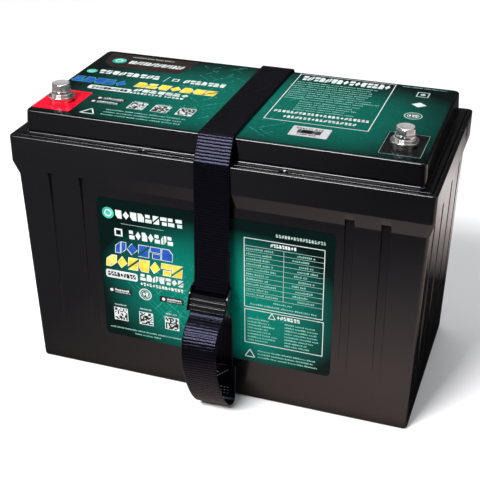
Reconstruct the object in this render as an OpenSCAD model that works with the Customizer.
// Twelve volt lithium battery pack in a moulded case, with bolted terminals and a webbing carry strap.
// Millimetres, +Z up. The origin is the centre of the case's footprint, on the floor.
// +X runs along the long side towards the negative terminal, and -Y faces out of the labelled side.

/* [Case] */
// Length of the case over its rim
case_l = 318; // [306:1:330]
// Width of the case over its rim
case_w = 165; // [160:1:175]
// Height of the container's rim
rim_top_z = 199; // [195:1:205]
// Height of the upright band below the rim
rim_band_h = 21; // [15:1:25]
// Height of the slope under the rim band
slope_h = 11.6; // [8:0.1:14]
// How far the slope brings the wall in
slope_in = 3.2; // [2:0.1:4]
// How far the wall draws in from the slope down to the floor
draft_in = 3.4; // [1:0.1:5]
// Radius of the container's upright edges
case_r = 3.5; // [2:0.5:8]
// Thickness of the container's walls
wall_t = 3.4; // [3:0.1:3.6]
// Thickness of the container's floor
floor_t = 3.5; // [3:0.1:4.5]

/* [Wall channels] */
// Width of an upright channel
channel_w = 6.8; // [5:0.1:9]
// Depth of an upright channel at the top of the wall
channel_d = 2.2; // [0.8:0.1:2.4]
// Height where the channels run out into the wall
channel_low_z = 16; // [8:1:30]
// Height where the channels stop, in the slope
channel_top_z = 171.5; // [168:0.1:174]
// Places of the channels along the long walls, mirrored
long_channels = [101, 126.5];
// Places of the channels along the end walls, mirrored
end_channels = [20, 57];

/* [Lid] */
// Height of the lid's printed top
top_z = 216.8; // [213:0.1:220]
// Distance from the rim to the raised platform's top edge
platform_in = 10.5; // [9:0.1:12]
// How far the platform's sides lean in
platform_draft = 1; // [0.5:0.1:2]
// Radius of the platform's corners
platform_r = 4; // [3:0.5:8]
// Width of the container's rim seen round the lid
rim_w = 3.7; // [3.4:0.1:4]
// Thickness of the lid's skin
lid_t = 3.2; // [2.5:0.1:4]

/* [Labels] */
// Thickness of a printed label
label_t = 0.25; // [0.2:0.01:0.35]
// Place of the small sticker's centre along the case
sticker_x = 61.7; // [50:0.1:75]
// Place of the small sticker's centre across the case
sticker_y = -45.6; // [-55:0.1:-40]
// Width of the front label
front_label_w = 183.6; // [170:0.1:190]
// Lowest height of the front label
front_label_low_z = 35.4; // [30:0.1:50]
// Height of the front label itself
front_label_h = 122.6; // [100:0.1:125]
// Length of a terminal's coloured pad
pad_l = 30.4; // [26:0.1:32]
// Width of a terminal's coloured pad
pad_w = 40.4; // [30:0.1:42]

/* [Terminals] */
// Half the distance between the two terminals
terminal_x = 129.9; // [125:0.1:131]
// Shift of both terminals along the case
terminal_shift = -1.4; // [-2:0.1:2]
// Distance of the terminals from the long centre line
terminal_y = -46.2; // [-48:0.1:-40]
// Diameter of a terminal's top flange
terminal_flange_d = 20; // [18:0.5:20]
// Height of a terminal above the label
terminal_rise = 4.6; // [4:0.1:8]
// Nominal diameter of the terminal thread
thread_d = 8; // [8]
// Length of the terminal bolt under its head
bolt_l = 20; // [16:1:22]
// Height of the bolt's head
bolt_head_h = 5.3; // [5:0.1:5.6]
// Width across the flats of the bolt's head
bolt_head_af = 13; // [13]
// Outer diameter of the flat washer
flat_washer_d = 16; // [16:0.5:18]
// Thickness of the flat washer
flat_washer_t = 1.6; // [1.4:0.1:2]
// Outer diameter of the spring washer
spring_washer_d = 14.4; // [13.5:0.1:14.8]
// Height of the tightened spring washer
spring_washer_t = 2.4; // [2:0.1:2.6]

/* [Strap] */
// Width of the webbing
strap_w = 27; // [25:0.5:30]
// Thickness of the webbing
strap_t = 1.8; // [1.4:0.1:1.8]
// Place of the strap along the case
strap_x = 1.8; // [-10:0.1:10]
// Height of the buckle's upper bar
buckle_z = 100; // [98:0.1:110]
// Distance of the buckle's upper bar from the long centre line
buckle_y = -85.4; // [-86:0.1:-85]
// Angle at which the free end hangs out of upright
tail_lean = 2.5; // [0:0.1:4]

/* [Cells] */
// Number of cells in the stack
cell_count = 4; // [4]
// Thickness of one cell
cell_t = 36.7; // [34:0.1:37]
// Width of one cell
cell_w = 130.3; // [120:0.1:131]
// Height of one cell's can
cell_h = 190; // [180:1:190]
// Thickness of the sheets between the cells
sheet_t = 0.5; // [0.3:0.1:0.8]

/* [Hidden] */
$fn = 64;
hull_fn = 32;
gap = 0.05;
eps = 0.01;

// Levels of the container and the lid
rim_low_z = rim_top_z - rim_band_h;
body_top_z = rim_low_z - slope_h;
draft_angle = atan(draft_in / body_top_z);
shelf_z = rim_top_z - 7;
bond_t = 1;
lid_low_z = shelf_z + bond_t;
flange_top_z = rim_top_z + 0.4;
lid_top_z = top_z - label_t;
lid_gap = 0.3;
pocket_r = 2.2;
foot_half_l = case_l / 2 - slope_in - draft_in;
foot_half_w = case_w / 2 - slope_in - draft_in;

// Levels of a terminal's stack of parts
terminal_top_z = top_z + terminal_rise;
flange_t = 1.8;
terminal_shank_d = 17;
boss_d = 26;
boss_low_z = 198;
thread_r = thread_d / 2;
flat_low_z = terminal_top_z + gap;
spring_low_z = flat_low_z + flat_washer_t + gap;
head_low_z = spring_low_z + spring_washer_t + gap;
washer_bore_r = thread_r + 0.3;
stud_low_z = 184;
lug_t = 3;
lug_top_z = boss_low_z - gap;
nut_h = 6.5;
nut_top_z = lug_top_z - lug_t - gap;

// The webbing's clearances
strap_gap = 0.25;
half_t = strap_t / 2;
groove_d = strap_t + 2 * strap_gap + 0.1;
strap_top_path_z = top_z + strap_gap + half_t;

// The buckle's places, in the plane across the case
upper_bar = [buckle_y, buckle_z];
upper_bar_r = 2;
middle_bar = upper_bar + [-3.4, -7.8];
middle_bar_r = 1.8;
lip_top = upper_bar + [-7.4, -4.2];
lip_low = upper_bar + [-13, -13.8];
lip_t = 2.6;
rail_t = 1.7;
rail_in = strap_w / 2 + 0.35;
tail_pivot = upper_bar + [-14, -18.8];
turn_r = middle_bar_r + half_t + 0.15;

// The cell stack
cell_low_z = floor_t + 3.3;
cell_top_z = cell_low_z + cell_h;
cell_pitch = cell_t + sheet_t + 2 * gap;
stack_half = cell_count * cell_pitch / 2;
cell_post_y = 32;
cell_post_h = 3;
link_low_z = cell_top_z + cell_post_h + gap;
link_t = 2;
end_plate_t = 4;
end_plate_w = cell_w + 3;
band_t = 0.6;
lug_plate_z = link_low_z + link_t + gap;
barrel_r = 5.2;
cable_r = 4.5;
sink_x = stack_half + end_plate_t + 13;
board_x = sink_x + 9;
board_face_x = board_x + 1.6;

// Shared shapes

// A rectangle with rounded corners, centred
module rounded_rect(l, w, r) {
    square([l - 2 * r, w], center = true);
    square([l, w - 2 * r], center = true);
    for (sx = [-1, 1], sy = [-1, 1])
        translate([sx * (l / 2 - r), sy * (w / 2 - r)])
            circle(r);
}

// A rounded block from z0 up to z1
module rounded_block(l, w, r, z0, z1) {
    translate([0, 0, z0])
        linear_extrude(z1 - z0)
            rounded_rect(l, w, r);
}

// A rounded block whose size changes from z0 up to z1
module tapered_block(l0, w0, z0, l1, w1, z1, r) {
    hull() {
        translate([0, 0, z0])
            linear_extrude(eps)
                rounded_rect(l0, w0, r, $fn = hull_fn);
        translate([0, 0, z1 - eps])
            linear_extrude(eps)
                rounded_rect(l1, w1, r, $fn = hull_fn);
    }
}

// A frame with rounded corners
module rounded_frame(l, w, r, t, z0, z1) {
    difference() {
        rounded_block(l, w, r, z0, z1);
        rounded_block(l - 2 * t, w - 2 * t, r - t, z0 - 1, z1 + 1);
    }
}

module hexagon(af, h) {
    cylinder(r = af / 2 / cos(30), h = h, $fn = 6);
}

// A box given by its lowest corner and its highest corner
module box(low, high) {
    translate(low)
        cube(high - low);
}

// A cylinder between two points
module rod(a, b, r) {
    d = b - a;
    translate(a)
        rotate([0, acos(d.z / norm(d)), atan2(d.y, d.x)])
            cylinder(r = r, h = norm(d));
}

// A cable of many-sided section through a list of points, whose stretches run past each other at the corners
module cable(points, r) {
    last = len(points) - 2;
    for (i = [0 : last]) {
        along = (points[i + 1] - points[i]) / norm(points[i + 1] - points[i]);
        rod(
            points[i] - (i > 0 ? 0.6 : 0) * r * along,
            points[i + 1] + (i < last ? 0.6 : 0) * r * along,
            r, $fn = 10
        );
    }
}

// Points on an arc in the plane across the case
function arc(c, r, a0, a1, n) = [
    for (i = [0 : n])
        let (a = a0 + (a1 - a0) * i / n)
            c + r * [cos(a), sin(a)]
];

// A point on a cubic curve
function cubic(a, b, c, d, t) =
    pow(1 - t, 3) * a + 3 * pow(1 - t, 2) * t * b + 3 * (1 - t) * t * t * c + pow(t, 3) * d;
function cubic_points(a, b, c, d, n) = [for (i = [1 : n]) cubic(a, b, c, d, i / n)];

// The sideways unit vector of a path between two of its points
function side(p, i, j) = [p[i].y - p[j].y, p[j].x - p[i].x] / norm(p[j] - p[i]);

// The mitred offset of a path at one of its points
function offset_at(p, i) =
    let (last = len(p) - 1)
    let (before = side(p, max(i - 1, 0), max(i, 1)))
    let (after = side(p, min(i, last - 1), min(i + 1, last)))
    (before + after) / (1 + before * after);

// Webbing laid along a path in the plane across the case
module webbing(path, width) {
    left = [for (i = [0 : len(path) - 1]) path[i] + half_t * offset_at(path, i)];
    right = [for (i = [len(path) - 1 : -1 : 0]) path[i] - half_t * offset_at(path, i)];
    translate([strap_x - width / 2, 0, 0])
        rotate([90, 0, 90])
            linear_extrude(width)
                polygon(concat(left, right));
}

// A bar across the buckle
module cross_bar(p, r) {
    translate([strap_x - rail_in - rail_t / 2, p.x, p.y])
        rotate([0, 90, 0])
            cylinder(r = r, h = 2 * rail_in + rail_t);
}

// The case

// Cuts upright channels into the wall at -Y, which run out towards the floor;
// half_w is that wall's distance at the floor
module wall_channels(places, half_w) {
    low_y = -half_w - channel_low_z * tan(draft_angle);
    top_y = -half_w - draft_in + channel_d;
    for (x = places, s = [-1, 1])
        translate([s * x - channel_w / 2, 0, 0])
            rotate([90, 0, 90])
                linear_extrude(channel_w)
                    polygon([
                        [-half_w - 12, channel_low_z],
                        [low_y, channel_low_z],
                        [top_y, channel_top_z],
                        [-half_w - 12, channel_top_z],
                    ]);
}

// The notch in the rim band at +X
module rim_notch() {
    translate([case_l / 2 - 1.2, 50, rim_top_z - 12])
        cube([5, 9, 20]);
}

module container() {
    color([0.045, 0.045, 0.05])
        difference() {
            union() {
                tapered_block(
                    2 * foot_half_l, 2 * foot_half_w, 0,
                    case_l - 2 * slope_in, case_w - 2 * slope_in, body_top_z + eps, case_r
                );
                tapered_block(
                    case_l - 2 * slope_in, case_w - 2 * slope_in, body_top_z,
                    case_l, case_w, rim_low_z + eps, case_r
                );
                rounded_block(case_l, case_w, case_r, rim_low_z, rim_top_z);
            }
            tapered_block(
                2 * (foot_half_l - wall_t), 2 * (foot_half_w - wall_t), floor_t,
                case_l - 2 * (slope_in + wall_t), case_w - 2 * (slope_in + wall_t),
                shelf_z + 1, pocket_r
            );
            rounded_block(case_l - 2 * rim_w, case_w - 2 * rim_w, pocket_r, shelf_z, rim_top_z + 1);
            wall_channels(long_channels, foot_half_w);
            rotate([0, 0, 180])
                wall_channels(long_channels, foot_half_w);
            for (a = [90, 270])
                rotate([0, 0, a])
                    wall_channels(end_channels, foot_half_l);
            rim_notch();
            mirror([1, 0, 0])
                rim_notch();
            translate([strap_x - strap_w / 2 - 0.8, -case_w, -1])
                cube([strap_w + 1.6, 2 * case_w, groove_d + 1]);
        }
}

// Half-round pry notches in the lid's front and back flange
module pry_notches() {
    for (x = [-52.5, 52.5], y = [-1, 1])
        translate([x, y * (case_w / 2 - rim_w - lid_gap), flange_top_z - 1.5])
            cylinder(r = 3.6, h = 5);
}

function terminal_place(s) = s * terminal_x + terminal_shift;

module terminal_places() {
    for (s = [-1, 1])
        translate([terminal_place(s), terminal_y, 0])
            children();
}

module lid() {
    flange_l = case_l - 2 * (rim_w + lid_gap);
    flange_w = case_w - 2 * (rim_w + lid_gap);
    top_l = case_l - 2 * platform_in;
    top_w = case_w - 2 * platform_in;
    color([0.05, 0.05, 0.055])
        difference() {
            union() {
                rounded_block(flange_l, flange_w, pocket_r - lid_gap, lid_low_z, flange_top_z);
                tapered_block(
                    top_l + 2 * platform_draft, top_w + 2 * platform_draft, flange_top_z - eps,
                    top_l, top_w, lid_top_z, platform_r
                );
            }
            difference() {
                rounded_block(
                    top_l - 2 * lid_t, top_w - 2 * lid_t, platform_r / 2,
                    lid_low_z - 1, lid_top_z - lid_t
                );
                terminal_places()
                    translate([0, 0, boss_low_z])
                        cylinder(d = boss_d, h = lid_top_z - boss_low_z);
            }
            terminal_places()
                translate([0, 0, boss_low_z - 1])
                    cylinder(d = terminal_shank_d + 2 * gap, h = 30);
            pry_notches();
        }
}

module lid_bond() {
    color([0.12, 0.12, 0.12])
        rounded_frame(
            case_l - 2 * rim_w - 0.6, case_w - 2 * rim_w - 0.6, pocket_r + 0.2,
            2, shelf_z + eps, lid_low_z - eps
        );
}

// Labels

module top_label() {
    color([0.0, 0.32, 0.26])
        translate([0, 0, lid_top_z + eps])
            linear_extrude(label_t - eps)
                difference() {
                    rounded_rect(case_l - 2 * platform_in - 4, case_w - 2 * platform_in - 4, platform_r - 2);
                    terminal_places()
                        circle(d = terminal_shank_d + 0.8);
                }
}

module pad_label(s) {
    translate([terminal_place(s), terminal_y + 0.8, top_z + eps])
        linear_extrude(label_t - 2 * eps)
            difference() {
                rounded_rect(pad_l, pad_w, 1);
                translate([0, -0.8])
                    circle(d = terminal_shank_d + 0.8);
            }
}

module positive_pad_label() {
    color([0.8, 0.02, 0.03])
        pad_label(-1);
}

module negative_pad_label() {
    color([0.03, 0.03, 0.03])
        pad_label(1);
}

module serial_sticker() {
    color("white")
        translate([sticker_x, sticker_y, top_z + eps])
            linear_extrude(0.15)
                rounded_rect(28, 17, 0.8);
}

// Turns a plate drawn in the X-Z plane onto the drafted front wall
module front_label() {
    color([0.0, 0.32, 0.26])
        translate([0, -foot_half_w - 0.02, 0])
            rotate([draft_angle, 0, 0])
                translate([0, 0, front_label_low_z + front_label_h / 2])
                    rotate([90, 0, 0])
                        linear_extrude(label_t)
                            rounded_rect(front_label_w, front_label_h, 4);
}

// Terminals and their fasteners

module terminal(s) {
    color([0.78, 0.77, 0.74])
        translate([terminal_place(s), terminal_y, 0])
            difference() {
                union() {
                    translate([0, 0, boss_low_z])
                        cylinder(d = terminal_shank_d, h = terminal_top_z - flange_t - boss_low_z);
                    translate([0, 0, terminal_top_z - flange_t])
                        cylinder(d = terminal_flange_d, h = flange_t);
                    translate([0, 0, stud_low_z])
                        cylinder(r = thread_r, h = boss_low_z - stud_low_z);
                }
                translate([0, 0, head_low_z - bolt_l - 2])
                    cylinder(r = thread_r, h = 40);
            }
}

module positive_terminal() {
    terminal(-1);
}

module negative_terminal() {
    terminal(1);
}

module terminal_nuts() {
    color([0.72, 0.72, 0.74])
        terminal_places()
            translate([0, 0, nut_top_z - nut_h])
                difference() {
                    hexagon(bolt_head_af, nut_h);
                    translate([0, 0, -1])
                        cylinder(r = thread_r + gap, h = nut_h + 2);
                }
}

module terminal_bolt(s) {
    color([0.8, 0.8, 0.82])
        translate([terminal_place(s), terminal_y, 0]) {
            translate([0, 0, head_low_z])
                intersection() {
                    hexagon(bolt_head_af, bolt_head_h);
                    translate([0, 0, -bolt_head_af])
                        cylinder(
                            r1 = bolt_head_af * 2.2,
                            r2 = bolt_head_af / 2 - 0.3,
                            h = bolt_head_h + bolt_head_af
                        );
                }
            translate([0, 0, head_low_z - bolt_l])
                cylinder(r = thread_r - gap, h = bolt_l + 1);
        }
}

module positive_bolt() {
    terminal_bolt(-1);
}

module negative_bolt() {
    terminal_bolt(1);
}

module ring(d, t, z) {
    translate([0, 0, z])
        difference() {
            cylinder(d = d, h = t);
            translate([0, 0, -1])
                cylinder(r = washer_bore_r, h = t + 2);
        }
}

// A spring washer is cut through on one side
module spring_washer(s) {
    color([0.62, 0.62, 0.64])
        translate([terminal_place(s), terminal_y, 0])
            difference() {
                ring(spring_washer_d, spring_washer_t, spring_low_z);
                rotate([0, 0, -120])
                    translate([thread_r - 1, -0.5, spring_low_z - 1])
                        cube([6, 1, spring_washer_t + 2]);
            }
}

module positive_spring_washer() {
    spring_washer(-1);
}

module negative_spring_washer() {
    spring_washer(1);
}

module flat_washer(s) {
    color([0.75, 0.75, 0.77])
        translate([terminal_place(s), terminal_y, 0])
            ring(flat_washer_d, flat_washer_t, flat_low_z);
}

module positive_flat_washer() {
    flat_washer(-1);
}

module negative_flat_washer() {
    flat_washer(1);
}

// The carry strap

// From the fold sewn behind the upper bar, over the case and under it, up to below the buckle
module strap_band() {
    rim_y = case_w / 2 + strap_gap + half_t;
    foot_y = foot_half_w + 0.3 + half_t;
    foot_r = 1.5;
    rim_r = 2.5;
    platform_y = case_w / 2 - platform_in + 0.2;
    slope_angle = atan2(strap_top_path_z - rim_top_z, rim_y - platform_y);
    loop_r = upper_bar_r + half_t + 0.15;
    label_face_y = foot_half_w + (middle_bar.y - 14) * tan(draft_angle) + 2 * label_t;
    path = concat(
        [upper_bar + [1.7, 33], upper_bar + [1.1, 10.2]],
        arc(upper_bar, loop_r, 20, -200, 12),
        [upper_bar + [-1.1, 10.2]],
        arc([-rim_y + rim_r, rim_top_z - rim_r + 1.9], rim_r, 180, 90 + slope_angle, 5),
        arc([-platform_y + 0.4, strap_top_path_z - 2.5], 2.5, 90 + slope_angle, 90, 4),
        arc([platform_y - 0.4, strap_top_path_z - 2.5], 2.5, 90, 90 - slope_angle, 4),
        arc([rim_y - rim_r, rim_top_z - rim_r + 1.9], rim_r, 90 - slope_angle, 0, 5),
        [[rim_y, rim_low_z - 1]],
        arc([foot_y - foot_r, foot_r + strap_gap + half_t], foot_r, 0, -90, 5),
        arc([-foot_y + foot_r, foot_r + strap_gap + half_t], foot_r, 270, 180, 5),
        [[-label_face_y - strap_gap - half_t, middle_bar.y - 14], middle_bar + [5.2, -7.2]]
    );
    color([0.06, 0.06, 0.075])
        webbing(path, strap_w);
}

// The stretch folded over the buckle's middle bar
module strap_turn() {
    leave = middle_bar + turn_r * [cos(150), sin(150)];
    path = concat(
        [middle_bar + [3.9, -4.4]],
        arc(middle_bar, turn_r, -12, 150, 10),
        [leave + 10.4 * [-0.5, -0.866], tail_pivot + [0.8, 0.8]]
    );
    color([0.06, 0.06, 0.075])
        webbing(path, strap_w);
}

// The free end, which hangs in a loop and turns back up in front of the band
module strap_tail() {
    start = tail_pivot - [0.7, 0.7];
    widest = [-118.6, 54];
    ground = [-91, 1.8];
    hem = [-83.4, 32];
    path = concat(
        [start],
        cubic_points(start, [-110, 78.5], [-119, 70], widest, 8),
        cubic_points(widest, [-118.4, 36], [-105, 5], ground, 10),
        cubic_points(ground, [-86, 1.4], [-83.6, 2.8], hem, 7)
    );
    color([0.06, 0.06, 0.075])
        translate([strap_x, 0, tail_pivot.y])
            rotate([0, -tail_lean, 0])
                translate([-strap_x, 0, -tail_pivot.y])
                    webbing(path, strap_w);
}

// One moulded frame: two rails, two bars and the lip that is lifted to let the webbing slip
module strap_buckle() {
    rail = [
        upper_bar + [2.6, 1.6], upper_bar + [-1.4, 3.0], lip_top + [-1.2, 1.8],
        lip_low + [-1.4, 0.6], lip_low + [1.0, -1.2], lip_low + [7.0, -2.7],
        upper_bar + [-4.8, -20.8], upper_bar + [-2.2, -21.2], middle_bar + [2.6, -2.4],
    ];
    color([0.03, 0.03, 0.035]) {
        for (s = [-1, 1])
            translate([strap_x + s * (rail_in + rail_t / 2) - rail_t / 2, 0, 0])
                rotate([90, 0, 90])
                    linear_extrude(rail_t)
                        polygon(rail);
        cross_bar(upper_bar, upper_bar_r);
        cross_bar(middle_bar, middle_bar_r);
        lip_d = lip_low - lip_top;
        translate([strap_x - rail_in - rail_t / 2, lip_top.x, lip_top.y])
            rotate([atan2(lip_d.y, lip_d.x) + 180, 0, 0])
                translate([0, -norm(lip_d), -lip_t / 2])
                    cube([2 * rail_in + rail_t, norm(lip_d), lip_t]);
    }
}

// The cell stack

function cell_x(i) = (i - (cell_count - 1) / 2) * cell_pitch;

// The cells face alternate ways, so that their posts join in series
module cell(i) {
    color([0.1, 0.25, 0.6])
        translate([cell_x(i), 0, 0]) {
            rounded_block(cell_t, cell_w, 3, cell_low_z, cell_top_z);
            for (y = [-cell_post_y, cell_post_y])
                translate([0, y, cell_top_z - eps])
                    cylinder(d = 16, h = cell_post_h + eps);
            translate([0, 0, cell_top_z - eps])
                cylinder(d = 12, h = 0.6);
        }
}

module cell_1() {
    cell(0);
}

module cell_2() {
    cell(1);
}

module cell_3() {
    cell(2);
}

module cell_4() {
    cell(3);
}

module cell_sheets() {
    color([0.75, 0.72, 0.45])
        for (i = [0 : cell_count])
            box(
                [(i - cell_count / 2) * cell_pitch - sheet_t / 2, -cell_w / 2 + 1, cell_low_z + 1],
                [(i - cell_count / 2) * cell_pitch + sheet_t / 2, cell_w / 2 - 1, cell_top_z - 1]
            );
}

module end_plate() {
    box(
        [stack_half + sheet_t / 2 + gap, -end_plate_w / 2, cell_low_z + 4],
        [stack_half + end_plate_t, end_plate_w / 2, cell_top_z - 6]
    );
}

module end_plate_left() {
    color("silver")
        mirror([1, 0, 0])
            end_plate();
}

module end_plate_right() {
    color("silver")
        end_plate();
}

module compression_bands() {
    color([0.5, 0.5, 0.52])
        for (z = [40, 142])
            rounded_frame(
                2 * (stack_half + end_plate_t + gap + band_t), end_plate_w + 2 * (gap + band_t),
                band_t + 0.08, band_t, z, z + 16
            );
}

// One plate joins each cell to the next, on alternate sides
module cell_links() {
    color([0.85, 0.85, 0.87])
        for (i = [0 : cell_count - 2])
            translate([(cell_x(i) + cell_x(i + 1)) / 2, (i % 2 == 0 ? 1 : -1) * cell_post_y, 0])
                rounded_block(cell_pitch + 18, 18, 2, link_low_z, link_low_z + link_t);
}

module output_tabs() {
    color([0.8, 0.5, 0.3])
        for (s = [-1, 1])
            translate([s * (cell_x(cell_count - 1) + 5), -cell_post_y, 0])
                rounded_block(30, 18, 2, link_low_z, link_low_z + link_t);
}

module insulation_board() {
    color([0.7, 0.75, 0.5])
        difference() {
            rounded_block(2 * stack_half - 2, cell_w - 6, 3, lug_plate_z + 2.4, lug_plate_z + 3);
            translate([0, 0, lug_plate_z])
                cylinder(r = 12, h = 8);
        }
}

// The battery management system, stood on the right-hand end plate

module board_corners(x) {
    for (y = [-54, 54], z = [66, 172])
        translate([x, y, z])
            rotate([0, 90, 0])
                children();
}

module bms_heat_sink() {
    color([0.7, 0.72, 0.75])
        difference() {
            union() {
                box([sink_x, -60, 60], [sink_x + 4, 60, 178]);
                for (y = [-45 : 10 : 45])
                    box([sink_x - 6, y - 1, 72], [sink_x + eps, y + 1, 166]);
            }
            board_corners(sink_x - 1)
                cylinder(r = 1.65, h = 8);
        }
}

module bms_board() {
    color([0.02, 0.3, 0.14])
        difference() {
            box([board_x, -60, 60], [board_face_x, 60, 178]);
            board_corners(board_x - 1)
                cylinder(r = 1.65, h = 8);
        }
}

module bms_transistors() {
    color([0.06, 0.06, 0.06])
        for (i = [0 : 7], z = [90, 112])
            box([sink_x + 4 + gap, i * 12 - 47, z], [board_x - gap, i * 12 - 37, z + 15]);
}

module bms_connector() {
    color([0.9, 0.9, 0.85])
        box([board_face_x + gap, 18, 120], [board_face_x + 7, 40, 128]);
}

module bms_standoffs() {
    color([0.75, 0.65, 0.35])
        board_corners(stack_half + end_plate_t + gap)
            difference() {
                cylinder(r = 3, h = sink_x - stack_half - end_plate_t - 2 * gap);
                translate([0, 0, -1])
                    cylinder(r = 1.5, h = 20);
            }
}

module bms_screws() {
    color([0.7, 0.7, 0.72])
        board_corners(board_face_x + gap) {
            cylinder(r = 2.8, h = 2);
            translate([0, 0, -15.5])
                cylinder(r = 1.4, h = 16);
        }
}

// Cables

// A ring lug that lies flat with its hole at a point; its barrel runs off at an angle in plan
module lug(p, z, angle, hole_r) {
    translate([p.x, p.y, z])
        rotate([0, 0, angle])
            difference() {
                union() {
                    cylinder(r = 8.5, h = 2);
                    translate([0, -4.5, 0])
                        cube([15, 9, 2]);
                    translate([14, 0, 1])
                        rotate([0, 90, 0])
                            cylinder(r = barrel_r, h = 10);
                }
                translate([0, 0, -1])
                    cylinder(r = hole_r, h = 4);
                translate([16, 0, 1])
                    rotate([0, 90, 0])
                        cylinder(r = cable_r + gap, h = 10);
            }
}

terminal_lug_z = lug_top_z - lug_t + 0.5;
tab_lug_x = cell_x(cell_count - 1) + 12;

module cable_lugs() {
    color([0.75, 0.5, 0.35]) {
        for (sx = [-1, 1])
            lug([terminal_place(sx), terminal_y], terminal_lug_z, 90, thread_r + gap);
        lug([-tab_lug_x, -cell_post_y], lug_plate_z, 180, 3);
        lug([tab_lug_x, -cell_post_y], lug_plate_z, 0, 3);
    }
}

module positive_cable() {
    z = terminal_lug_z + 1;
    color([0.75, 0.05, 0.05])
        cable([
            [terminal_place(-1), terminal_y + 17, z],
            [terminal_place(-1), terminal_y + 34, z],
            [-tab_lug_x - 33, -cell_post_y, lug_plate_z + 1],
            [-tab_lug_x - 17, -cell_post_y, lug_plate_z + 1],
        ], cable_r);
}

module negative_cable() {
    z = terminal_lug_z + 1;
    x = board_face_x + cable_r + 0.5;
    color([0.05, 0.05, 0.05])
        cable([
            [terminal_place(1), terminal_y + 17, z],
            [terminal_place(1), terminal_y + 32, z],
            [x + 3, 3, z - 4],
            [x, 6, 182],
            [x, 7, 150],
        ], cable_r);
}

module cell_negative_cable() {
    x = board_face_x + cable_r + 0.5;
    color([0.05, 0.05, 0.05])
        cable([
            [tab_lug_x + 17, -cell_post_y, lug_plate_z + 1],
            [tab_lug_x + 31, -cell_post_y, lug_plate_z + 1],
            [x, -14, 190],
            [x, -13, 150],
        ], cable_r);
}

module balance_harness() {
    x = board_face_x + 5;
    color([0.85, 0.6, 0.1])
        cable([
            [x, 28, 128.5],
            [x, 28, 186],
            [stack_half, 12, cell_top_z + 2.2],
            [cell_x(0), 12, cell_top_z + 2.2],
        ], 1.6);
}

module temperature_sensor() {
    color([0.1, 0.1, 0.1])
        rod([cell_x(1), -12, cell_top_z + 2.2], [cell_x(1), -3, cell_top_z + 2.2], 1.5);
}

// Foam packing

module base_pad() {
    color([0.2, 0.2, 0.22])
        rounded_block(2 * stack_half + 6, cell_w, 4, floor_t + gap, cell_low_z - gap);
}

module side_pads() {
    pad_y = end_plate_w / 2 + band_t + 3 * gap;
    color([0.2, 0.2, 0.22])
        for (s = [0, 180])
            rotate([0, 0, s])
                box([-70, pad_y, 30], [70, pad_y + 4.4, 170]);
}

module end_spacer() {
    color([0.25, 0.25, 0.27])
        difference() {
            box([-146, -66, floor_t + 0.5], [-stack_half - end_plate_t - 3, 66, 150]);
            box([-132, -48, floor_t + 12], [-stack_half - end_plate_t - 2, 48, 140]);
        }
}

container();
lid();
lid_bond();
top_label();
front_label();
positive_pad_label();
negative_pad_label();
serial_sticker();
positive_terminal();
negative_terminal();
terminal_nuts();
positive_bolt();
negative_bolt();
positive_spring_washer();
negative_spring_washer();
positive_flat_washer();
negative_flat_washer();
strap_band();
strap_buckle();
strap_turn();
strap_tail();
cell_1();
cell_2();
cell_3();
cell_4();
cell_sheets();
end_plate_left();
end_plate_right();
compression_bands();
cell_links();
output_tabs();
insulation_board();
bms_heat_sink();
bms_board();
bms_transistors();
bms_connector();
bms_standoffs();
bms_screws();
positive_cable();
negative_cable();
cell_negative_cable();
cable_lugs();
balance_harness();
temperature_sensor();
base_pad();
side_pads();
end_spacer();
